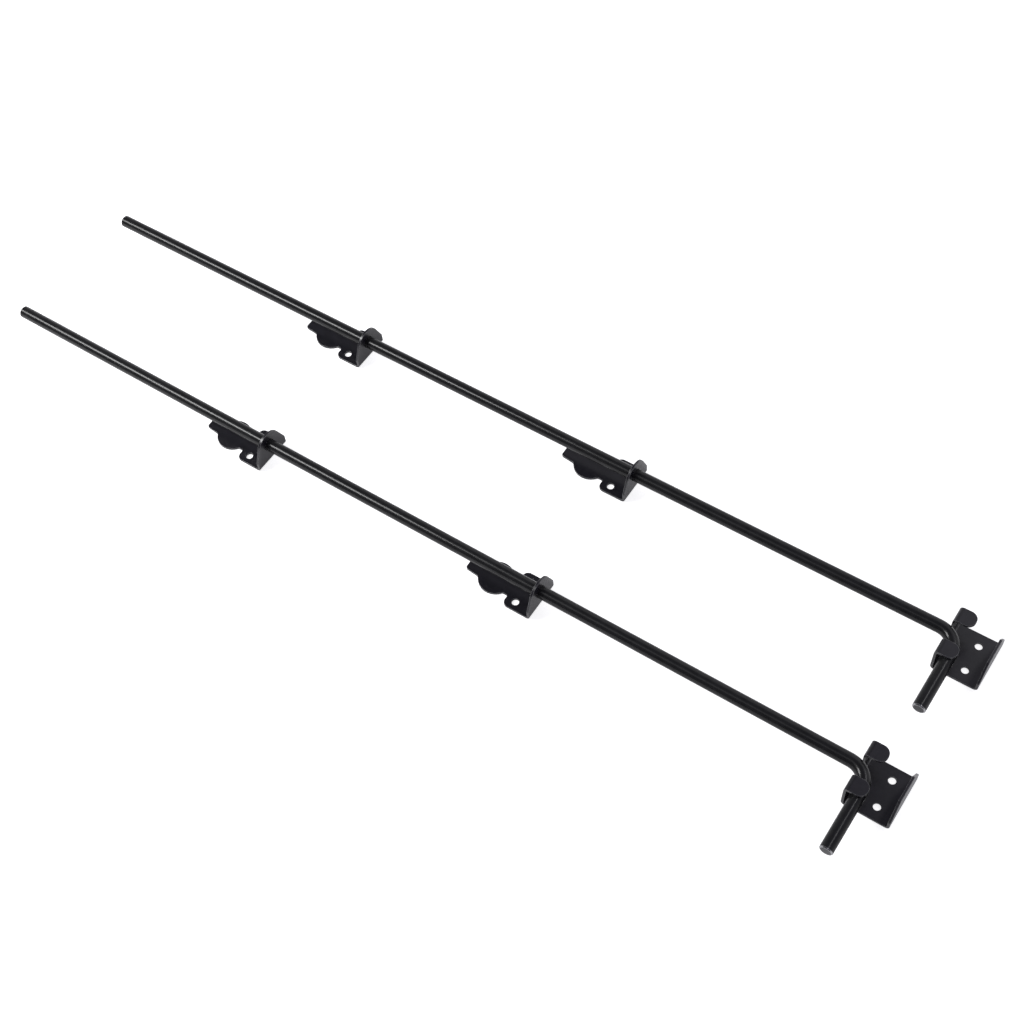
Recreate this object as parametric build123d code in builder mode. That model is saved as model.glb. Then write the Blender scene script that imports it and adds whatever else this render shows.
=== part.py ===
from build123d import *
import os

# A set of two identical cane bolts (gate drop rods), lying as they would on a flat surface.
# +X runs along the rods from the foot to the handle, +Y from bolt a to bolt b, +Z away from the
# surface that the brackets are screwed to. The origin is the middle of the set's footprint.

# ---- driving dimensions, millimetres ----
rod_diameter = 12.7
rod_length = 1000.0            # foot to the handle's centre line
handle_length = 83.0           # rod's centre line to the handle's cut end
bend_radius = 20.5             # at the centre line
foot_chamfer = 1.0
handle_chamfer = 0.8

sheet = 2.5                    # bracket sheet thickness
inner_bend = 2.0               # inside radius of every sheet bend
edge_round = 0.35              # every sheared edge
axis_height = 21.5             # rod's centre line above the mounting surface
rod_clearance = 0.08           # radial, in the guides' holes
screw_hole = 7.0

guide_half_width = 21.0
guide_ear_length = 31.3        # from the flange's outer face to the ears' foot-side edge
guide_ear_corner = 6.0
guide_hole_x = 21.0            # from the flange's outer face
guide_hole_spacing = 25.4
neck_half_width = 10.5
neck_corner = 2.0
disc_radius = 17.5
disc_x = 51.3                  # from the flange's outer face
tongue_root_half_width = 9.2   # at the disc's centre, tapering to the tip
tongue_tip_half_width = 6.2
tongue_tip_x = 82.5            # from the flange's outer face
tongue_root_corner = 4.0
tongue_tip_corner = 3.0
hood_radius = 15.5             # rounded top of the flange, about the rod
flange_straight = 12.0         # height at which a flange's sides start to lean in

keeper_half_width = 26.5
keeper_offset = 3.5            # the hold-up bracket sits this far to the handle's side of the rod
keeper_hole_spacing = 28.0
keeper_flange_x = 17.3         # flange's outer face, from the line of the screw holes
keeper_flange_height = 31.5
keeper_flange_top = 13.2       # half the width of the flange's top edge
keeper_corner = 2.0
hook_x = 28.0                  # hooks' outer face, from the line of the screw holes
hook_height = 30.8
hook_inner_y = 10.3            # half the gap between the two hooks
hook_reach = 18.7              # from the hook's outer face to the finger's tip
finger_corner = 7.6            # leaves the finger's tip almost fully round
notch_depth = 2.0              # plate's edge between the hooks, set back from the hooks' bends
notch_corner = 1.5

lower_guide_x = 341.5          # flange's outer face, from the foot
upper_guide_x = 664.5
keeper_x = 1015.8              # line of the screw holes, from the foot
bolt_spacing = 156.0
bolt_stagger = 6.5             # bolt b lies this much further along +X

# ---- values worked out from them ----
rod_radius = rod_diameter / 2
outer_bend = inner_bend + sheet
set_length = keeper_x + keeper_flange_x + bolt_stagger
set_low_y = -handle_length
set_high_y = bolt_spacing + keeper_half_width - keeper_offset
foot_x = -set_length / 2
axis_y = -(set_low_y + set_high_y) / 2

os.makedirs("parts", exist_ok=True)


def save(piece, name):
    piece.part.label = name
    export_step(piece.part, f"parts/{name}.step")


def at_x(shapes, x):
    """Those of the shapes that stand at one place along X."""
    return shapes.filter_by_position(Axis.X, x - 0.01, x + 0.01)


def at_z(shapes, z):
    """Those of the shapes that stand at one height."""
    return shapes.filter_by_position(Axis.Z, z - 0.01, z + 0.01)


def corner_edges(solid):
    """Edges where two faces meet at a real corner, not where one runs smoothly into the other."""
    corners = []
    for edge in solid.edges():
        sides = [face for face in solid.faces() if edge in face.edges()]
        if len(sides) == 2:
            first, second = (side.normal_at(edge @ 0.5) for side in sides)
            if first.get_angle(second) > 20:
                corners.append(edge)
    return corners


def make_rod(name, x, y):
    """A round bar with its top end bent square into a handle that points to -Y."""
    with BuildPart() as rod:
        with BuildLine() as path:
            FilletPolyline(
                (x, y, axis_height),
                (x + rod_length, y, axis_height),
                (x + rod_length, y - handle_length, axis_height),
                radius=bend_radius,
            )
        with BuildSketch(Plane(origin=(x, y, axis_height), x_dir=(0, 1, 0), z_dir=(1, 0, 0))):
            Circle(rod_radius)
        sweep(path=path.line)
        foot_face = rod.faces().filter_by(GeomType.PLANE).sort_by(Axis.X)[0]
        handle_face = rod.faces().filter_by(GeomType.PLANE).sort_by(Axis.Y)[0]
        chamfer(foot_face.edges(), foot_chamfer)
        chamfer(handle_face.edges(), handle_chamfer)
    save(rod, name)


def make_guide(name, x, y):
    """A plate with two ears, a round pad and a tongue, bent up into a flange the rod runs through."""
    with BuildPart() as guide:
        with BuildSketch(Plane(origin=(x, y, 0))) as plate:
            with Locations((-guide_ear_length / 2, 0)):
                Rectangle(guide_ear_length, 2 * guide_half_width)
            with Locations((-disc_x / 2, 0)):
                Rectangle(disc_x, 2 * neck_half_width)
            with Locations((-disc_x, 0)):
                Circle(disc_radius)
            with BuildLine():
                Polyline(
                    (-disc_x, tongue_root_half_width),
                    (-tongue_tip_x, tongue_tip_half_width),
                    (-tongue_tip_x, -tongue_tip_half_width),
                    (-disc_x, -tongue_root_half_width),
                    close=True,
                )
            make_face()
            ear_line = at_x(plate.vertices(), -guide_ear_length).sort_by(Axis.Y)
            fillet([ear_line[0], ear_line[-1]], guide_ear_corner)
            fillet(plate.vertices().sort_by(Axis.X)[:2], tongue_tip_corner)
            root_line = plate.vertices().filter_by_position(
                Axis.X, -disc_x - disc_radius, -disc_x - disc_radius / 2
            )
            fillet(root_line, tongue_root_corner)
            neck = plate.vertices().filter_by_position(
                Axis.Y, -neck_half_width - 0.01, neck_half_width + 0.01
            )
            fillet(neck.filter_by_position(Axis.X, -disc_x, -guide_ear_length), neck_corner)
        extrude(amount=sheet)
        with BuildSketch(Plane(origin=(x, y, 0), x_dir=(0, 1, 0), z_dir=(1, 0, 0))):
            with Locations((0, axis_height)):
                Circle(hood_radius)
            with Locations((0, flange_straight / 2)):
                Rectangle(2 * guide_half_width, flange_straight)
            make_hull()
        extrude(amount=-sheet)
        fillet(at_z(at_x(guide.edges(), x), 0), outer_bend)
        fillet(at_z(at_x(guide.edges(), x - sheet), sheet), inner_bend)
        with Locations(Plane(origin=(x, y, axis_height), z_dir=(1, 0, 0))):
            Hole(rod_radius + rod_clearance, depth=2 * sheet)
        with Locations(Plane(origin=(x - guide_hole_x, y, sheet))):
            with GridLocations(1, guide_hole_spacing, 1, 2):
                Hole(screw_hole / 2)
        fillet(corner_edges(guide), edge_round)
    save(guide, name)


def make_keeper(name, x, y):
    """Hold-up bracket: a plate with two hooks for the handle at one edge, a stop flange at the other."""
    plate_start = -hook_x + outer_bend
    notch_x = plate_start + notch_depth
    side = Plane(origin=(x, y, 0), x_dir=(1, 0, 0), z_dir=(0, -1, 0))
    with BuildPart() as keeper:
        with BuildSketch(Plane(origin=(x, y, 0))) as plate:
            with Locations(((keeper_flange_x + plate_start) / 2, 0)):
                Rectangle(keeper_flange_x - plate_start, 2 * keeper_half_width)
            with Locations((plate_start, 0)):
                Rectangle(2 * notch_depth, 2 * hook_inner_y, mode=Mode.SUBTRACT)
            fillet(at_x(plate.vertices(), notch_x), notch_corner)
        extrude(amount=sheet)
        with BuildSketch(
            Plane(origin=(x + keeper_flange_x, y, 0), x_dir=(0, 1, 0), z_dir=(1, 0, 0))
        ) as flange:
            with BuildLine():
                Polyline(
                    (-keeper_half_width, 0),
                    (-keeper_half_width, flange_straight),
                    (-keeper_flange_top, keeper_flange_height),
                    (keeper_flange_top, keeper_flange_height),
                    (keeper_half_width, flange_straight),
                    (keeper_half_width, 0),
                    close=True,
                )
            make_face()
            fillet(flange.vertices().sort_by(Axis.Y)[2:], keeper_corner)
        extrude(amount=-sheet)
        fillet(at_z(at_x(keeper.edges(), x + keeper_flange_x), 0), outer_bend)
        fillet(at_z(at_x(keeper.edges(), x + keeper_flange_x - sheet), sheet), inner_bend)
        with BuildSketch(side.offset(hook_inner_y)) as hook:
            with BuildLine():
                Polyline(
                    (plate_start, 0),
                    (-hook_x, 0),
                    (-hook_x, hook_height),
                    (-hook_x + hook_reach, hook_height),
                    (-hook_x + hook_reach, hook_height - sheet),
                    (-hook_x + sheet, hook_height - sheet),
                    (-hook_x + sheet, sheet),
                    (plate_start, sheet),
                    close=True,
                )
            make_face()
            fillet(at_x(hook.vertices(), -hook_x), outer_bend)
            fillet(at_x(hook.vertices(), -hook_x + sheet), inner_bend)
        extrude(amount=keeper_half_width - hook_inner_y)
        tip = at_x(keeper.edges().filter_by(Axis.Z), x - hook_x + hook_reach)
        fillet(tip, finger_corner)
        mirror(about=Plane(origin=(x, y, 0), z_dir=(0, 1, 0)))
        with Locations(Plane(origin=(x, y, sheet))):
            with GridLocations(1, keeper_hole_spacing, 1, 2):
                Hole(screw_hole / 2)
        fillet(corner_edges(keeper), edge_round)
    save(keeper, name)


bolts = {"bolt_a": (foot_x, axis_y), "bolt_b": (foot_x + bolt_stagger, axis_y + bolt_spacing)}
for bolt, (x, y) in bolts.items():
    make_rod(f"{bolt}_rod", x, y)
    make_guide(f"{bolt}_lower_guide", x + lower_guide_x, y)
    make_guide(f"{bolt}_upper_guide", x + upper_guide_x, y)
    make_keeper(f"{bolt}_hold_up_bracket", x + keeper_x, y - keeper_offset)
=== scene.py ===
import math

import bpy
from mathutils import Matrix, Vector


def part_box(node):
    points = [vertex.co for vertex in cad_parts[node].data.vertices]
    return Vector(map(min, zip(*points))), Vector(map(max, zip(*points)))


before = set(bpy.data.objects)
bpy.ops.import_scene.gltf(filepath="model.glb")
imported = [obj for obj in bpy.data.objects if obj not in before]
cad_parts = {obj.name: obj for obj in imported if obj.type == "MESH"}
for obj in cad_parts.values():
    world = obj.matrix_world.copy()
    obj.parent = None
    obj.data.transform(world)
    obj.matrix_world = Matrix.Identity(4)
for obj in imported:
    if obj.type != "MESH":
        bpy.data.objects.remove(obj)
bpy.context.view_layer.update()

# The looks of a set of two cane bolts: satin black powder coat on steel, with a painted highlight along the
# brackets' corners, and the coat rubbed thin on the cut end of each handle. Metres, in the CAD model's own
# frame: +X from foot to handle, +Z up from the surface that the brackets lie on.

MM = 0.001

# ---- camera: the photograph's viewpoint ----
CAMERA_PLACE = (0.610, -0.6154, 1.2635)
CAMERA_HEADING = 40.597          # degrees about +Z, from looking along +Y
CAMERA_DOWN = 56.407             # degrees below the horizon
CAMERA_ROLL = -7.823             # degrees about the line of sight
CAMERA_LENS = 55.12              # millimetres, on a sensor of SENSOR_WIDTH
SENSOR_WIDTH = 36

# ---- coats ----
COAT_IOR = 1.55
THIN_COAT = (0.055, 0.055, 0.06)
BARE_STEEL = (0.42, 0.42, 0.43)

# ---- floor ----
FLOOR_SIZE = 40
FLOOR_DROP = 0.3 * MM            # keeps it clear of the brackets' undersides
FLOOR_COLOUR = (0.85, 0.85, 0.85)
FLOOR_SEEN = 0.80                # the floor's own light where the camera sees it
FLOOR_MIRRORED = 0.28            # and where the steel mirrors it, which leaves it its shadows

# ---- lights: place, size, power in watts, point aimed at, direction of the long side ----
LIGHTS = {
    "strip": ((-1.17, -0.66, 1.35), (0.98, 0.48), 24.0, (-0.2, -0.05, 0), (1, 0, 0)),
    "tail": ((-0.08, -0.66, 1.35), (1.00, 0.50), 1.0, (0.3, -0.05, 0), (1, 0, 0)),
    "fill": ((0.3, 1.6, 1.5), (2.6, 1.2), 4.0, (0.1, 0, 0), (1, 0, 0)),
    "side": ((0.93, 0.78, 1.50), (0.90, 0.22), 3.0, (0.48, 0, 0), (0, 1, 0)),
}

# ---- studio walls ----
WALL_NEAR = (0.06, 0.06, 0.06)
WALL_FAR = (0.92, 0.92, 0.94)
CEILING_LEFT = (0.04, 0.04, 0.045)
CEILING_RIGHT = (0.165, 0.155, 0.215)
BACKDROP = (0.98, 0.98, 0.98)


# ---- node helpers: a value is a constant or another node's output ----
def put(tree, value, socket):
    """Sets a socket to a constant, or links another node's output to it."""
    if isinstance(value, bpy.types.NodeSocket):
        tree.links.new(value, socket)
    else:
        socket.default_value = value


def noise(tree, size, detail=2.0, roughness=0.5):
    """Noise whose grain is about `size` metres, fixed to the piece."""
    place = tree.nodes.new("ShaderNodeTexCoord")
    texture = tree.nodes.new("ShaderNodeTexNoise")
    texture.inputs["Scale"].default_value = 1 / size
    texture.inputs["Detail"].default_value = detail
    texture.inputs["Roughness"].default_value = roughness
    tree.links.new(place.outputs["Object"], texture.inputs["Vector"])
    return texture.outputs["Fac"]


def remap(tree, value, low, high, out_low, out_high):
    """value from low..high becomes out_low..out_high, and stays in it."""
    node = tree.nodes.new("ShaderNodeMapRange")
    node.inputs["From Min"].default_value = low
    node.inputs["From Max"].default_value = high
    node.inputs["To Min"].default_value = out_low
    node.inputs["To Max"].default_value = out_high
    tree.links.new(value, node.inputs["Value"])
    return node.outputs["Result"]


def blend(tree, factor, first, second):
    """The first colour where the factor is 0, the second where it is 1."""
    node = tree.nodes.new("ShaderNodeMix")
    node.data_type = "RGBA"
    tree.links.new(factor, node.inputs["Factor"])
    for side, colour in (("A", first), ("B", second)):
        put(tree, (*colour, 1) if isinstance(colour, tuple) else colour, node.inputs[side])
    return node.outputs["Result"]


def maths(tree, operation, *values):
    """The result of one Math node."""
    node = tree.nodes.new("ShaderNodeMath")
    node.operation = operation
    for value, socket in zip(values, node.inputs):
        put(tree, value, socket)
    return node.outputs["Value"]


def vector_maths(tree, operation, *values):
    """The outputs of one Vector Math node."""
    node = tree.nodes.new("ShaderNodeVectorMath")
    node.operation = operation
    for value, socket in zip(values, node.inputs):
        put(tree, value, socket)
    return node.outputs


def split(tree, vector):
    """The outputs X, Y and Z of a vector."""
    node = tree.nodes.new("ShaderNodeSeparateXYZ")
    tree.links.new(vector, node.inputs["Vector"])
    return node.outputs


def bump(tree, height, distance):
    """A normal disturbed by a bump of that height in metres."""
    node = tree.nodes.new("ShaderNodeBump")
    node.inputs["Distance"].default_value = distance
    node.inputs["Strength"].default_value = 0.6
    tree.links.new(height, node.inputs["Height"])
    return node.outputs["Normal"]


def on_corners(tree, radius):
    """1 on the corners of the sheet metal and 0 elsewhere, fading over that radius."""
    rounded = tree.nodes.new("ShaderNodeBevel")
    rounded.samples = 6
    rounded.inputs["Radius"].default_value = radius
    real = tree.nodes.new("ShaderNodeNewGeometry")
    alike = vector_maths(tree, "DOT_PRODUCT", rounded.outputs["Normal"], real.outputs["Normal"])
    return remap(tree, alike["Value"], 0.93, 0.995, 1, 0)


# ---- materials ----
def principled(name):
    """A new material, with its tree and its shader."""
    material = bpy.data.materials.new(name)
    material.use_nodes = True
    return material, material.node_tree, material.node_tree.nodes["Principled BSDF"]


def powder_coat(name, dark, light, roughness, edge_on_roughness, shine, peel_size, peel_height, painted_edge_highlight=None):
    """Satin powder coat: a fine orange peel, a colour and a gloss that are never quite even, and more
    gloss edge-on. Where an edge highlight colour is given, the sheet metal's corners are painted in it: a
    painted highlight."""
    material, tree, shader = principled(name)
    colour = blend(tree, remap(tree, noise(tree, 9 * MM, 4), 0.35, 0.65, 0, 1), dark, light)
    # Painted highlight: a pale colour on the sheet metal's corners stands in for the light that the edges
    # catch.
    if painted_edge_highlight:
        colour = blend(tree, on_corners(tree, 0.7 * MM), colour, painted_edge_highlight)
    slant = tree.nodes.new("ShaderNodeLayerWeight").outputs["Facing"]
    even = remap(tree, slant, 0.45, 0.92, roughness, edge_on_roughness)
    patches = remap(tree, noise(tree, 4 * MM, 5, 0.6), 0.3, 0.7, 0.94, 1.07)
    tree.links.new(colour, shader.inputs["Base Color"])
    tree.links.new(maths(tree, "MULTIPLY", even, patches), shader.inputs["Roughness"])
    tree.links.new(bump(tree, noise(tree, peel_size), peel_height), shader.inputs["Normal"])
    shader.inputs["IOR"].default_value = COAT_IOR
    shader.inputs["Specular IOR Level"].default_value = shine
    return material


def cut_end(material, middle, radius):
    """Adds the sawn end of a rod that points to -Y: a thinly coated face inside a rim rubbed through to the
    steel.
    """
    tree = material.node_tree
    shader = tree.nodes["Principled BSDF"]
    place = tree.nodes.new("ShaderNodeTexCoord").outputs["Object"]
    from_middle = vector_maths(tree, "SUBTRACT", place, middle)["Vector"]
    behind_face = split(tree, from_middle)["Y"]
    across = vector_maths(tree, "MULTIPLY", from_middle, (1, 0, 1))["Vector"]
    out = vector_maths(tree, "LENGTH", across)["Value"]
    ragged = maths(tree, "MULTIPLY_ADD", noise(tree, 1.2 * MM, 3), 0.9 * MM, out)
    near_end = remap(tree, behind_face, 0.9 * MM, 1.3 * MM, 1, 0)
    near_rim = remap(tree, ragged, radius - 1.1 * MM, radius - 0.7 * MM, 0, 1)
    bare = maths(tree, "MULTIPLY", near_end, near_rim)
    on_face = remap(tree, behind_face, 0.1 * MM, 0.4 * MM, 1, 0)
    coat = shader.inputs["Base Color"].links[0].from_socket
    coated = blend(tree, on_face, coat, THIN_COAT)
    tree.links.new(blend(tree, bare, coated, BARE_STEEL), shader.inputs["Base Color"])
    tree.links.new(bare, shader.inputs["Metallic"])


def dress(node, material):
    """Gives a CAD node its finish."""
    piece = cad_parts[node]
    piece.data.materials.clear()
    piece.data.materials.append(material)


bracket_coat = powder_coat(
    "bracket_coat",
    dark=(0.0068, 0.0063, 0.0100),
    light=(0.0102, 0.0096, 0.0145),
    roughness=0.31,
    edge_on_roughness=0.24,
    shine=0.60,
    peel_size=0.5 * MM,
    peel_height=0.008 * MM,
    # a pale colour painted on the corners as a highlight along the edges
    painted_edge_highlight=(0.25, 0.25, 0.26),
)
for bolt in ("bolt_a", "bolt_b"):
    for part in ("lower_guide", "upper_guide", "hold_up_bracket"):
        dress(f"{bolt}_{part}", bracket_coat)
    rod_coat = powder_coat(
        f"{bolt}_rod_coat",
        dark=(0.012, 0.012, 0.013),
        light=(0.017, 0.017, 0.0185),
        roughness=0.23,
        edge_on_roughness=0.23,
        shine=0.27,
        peel_size=3.0 * MM,
        peel_height=0.001 * MM,
    )
    low, high = (Vector(corner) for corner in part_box(f"{bolt}_rod"))
    radius = (high.z - low.z) / 2
    cut_end(rod_coat, (high.x - radius, low.y, high.z - radius), radius)
    dress(f"{bolt}_rod", rod_coat)

# ---- the floor ----
bpy.ops.mesh.primitive_plane_add(size=FLOOR_SIZE, location=(0, 0, -FLOOR_DROP))
floor = bpy.context.object
floor.name = "floor"
paper, tree, shader = principled("paper")
shader.inputs["Base Color"].default_value = (*FLOOR_COLOUR, 1)
shader.inputs["Roughness"].default_value = 0.9
shader.inputs["Emission Color"].default_value = (1, 1, 1, 1)
seen = tree.nodes.new("ShaderNodeLightPath").outputs["Is Camera Ray"]
tree.links.new(remap(tree, seen, 0, 1, FLOOR_MIRRORED, FLOOR_SEEN), shader.inputs["Emission Strength"])
floor.data.materials.append(paper)


# ---- lights ----
def area_light(name, place, size, power, aim, along):
    """A rectangular light whose long side runs along a direction, aimed at a point."""
    data = bpy.data.lights.new(name, "AREA")
    data.shape = "RECTANGLE"
    data.size, data.size_y = size
    data.energy = power
    light = bpy.data.objects.new(name, data)
    back = (Vector(place) - Vector(aim)).normalized()
    side = (Vector(along) - Vector(along).dot(back) * back).normalized()
    turn = Matrix((side, back.cross(side), back)).transposed()
    light.matrix_world = Matrix.Translation(place) @ turn.to_4x4()
    bpy.context.scene.collection.objects.link(light)


for name, setting in LIGHTS.items():
    area_light(name, *setting)

# A studio that is pale at the horizon and dim overhead, and plain pale where the camera sees it.
world = bpy.data.worlds.new("studio")
bpy.context.scene.world = world
world.use_nodes = True
tree = world.node_tree
towards = split(tree, tree.nodes.new("ShaderNodeTexCoord").outputs["Generated"])
wall = blend(tree, remap(tree, towards["Y"], -0.3, 0.8, 0, 1), WALL_NEAR, WALL_FAR)
ceiling = blend(tree, remap(tree, towards["X"], -0.4, 0.05, 0, 1), CEILING_LEFT, CEILING_RIGHT)
studio = blend(tree, remap(tree, towards["Z"], 0.0, 0.80, 0, 1), wall, ceiling)
seen = tree.nodes.new("ShaderNodeLightPath").outputs["Is Camera Ray"]
tree.links.new(blend(tree, seen, studio, BACKDROP), tree.nodes["Background"].inputs["Color"])

# ---- camera ----
lens = bpy.data.cameras.new("camera")
lens.sensor_width = SENSOR_WIDTH
lens.lens = CAMERA_LENS
camera = bpy.data.objects.new("camera", lens)
turn = (Matrix.Rotation(math.radians(CAMERA_HEADING), 4, "Z")
        @ Matrix.Rotation(math.radians(90 - CAMERA_DOWN), 4, "X")
        @ Matrix.Rotation(math.radians(CAMERA_ROLL), 4, "Z"))
camera.matrix_world = Matrix.Translation(CAMERA_PLACE) @ turn
bpy.context.scene.collection.objects.link(camera)
bpy.context.scene.camera = camera
bpy.context.scene.view_settings.view_transform = "Standard"
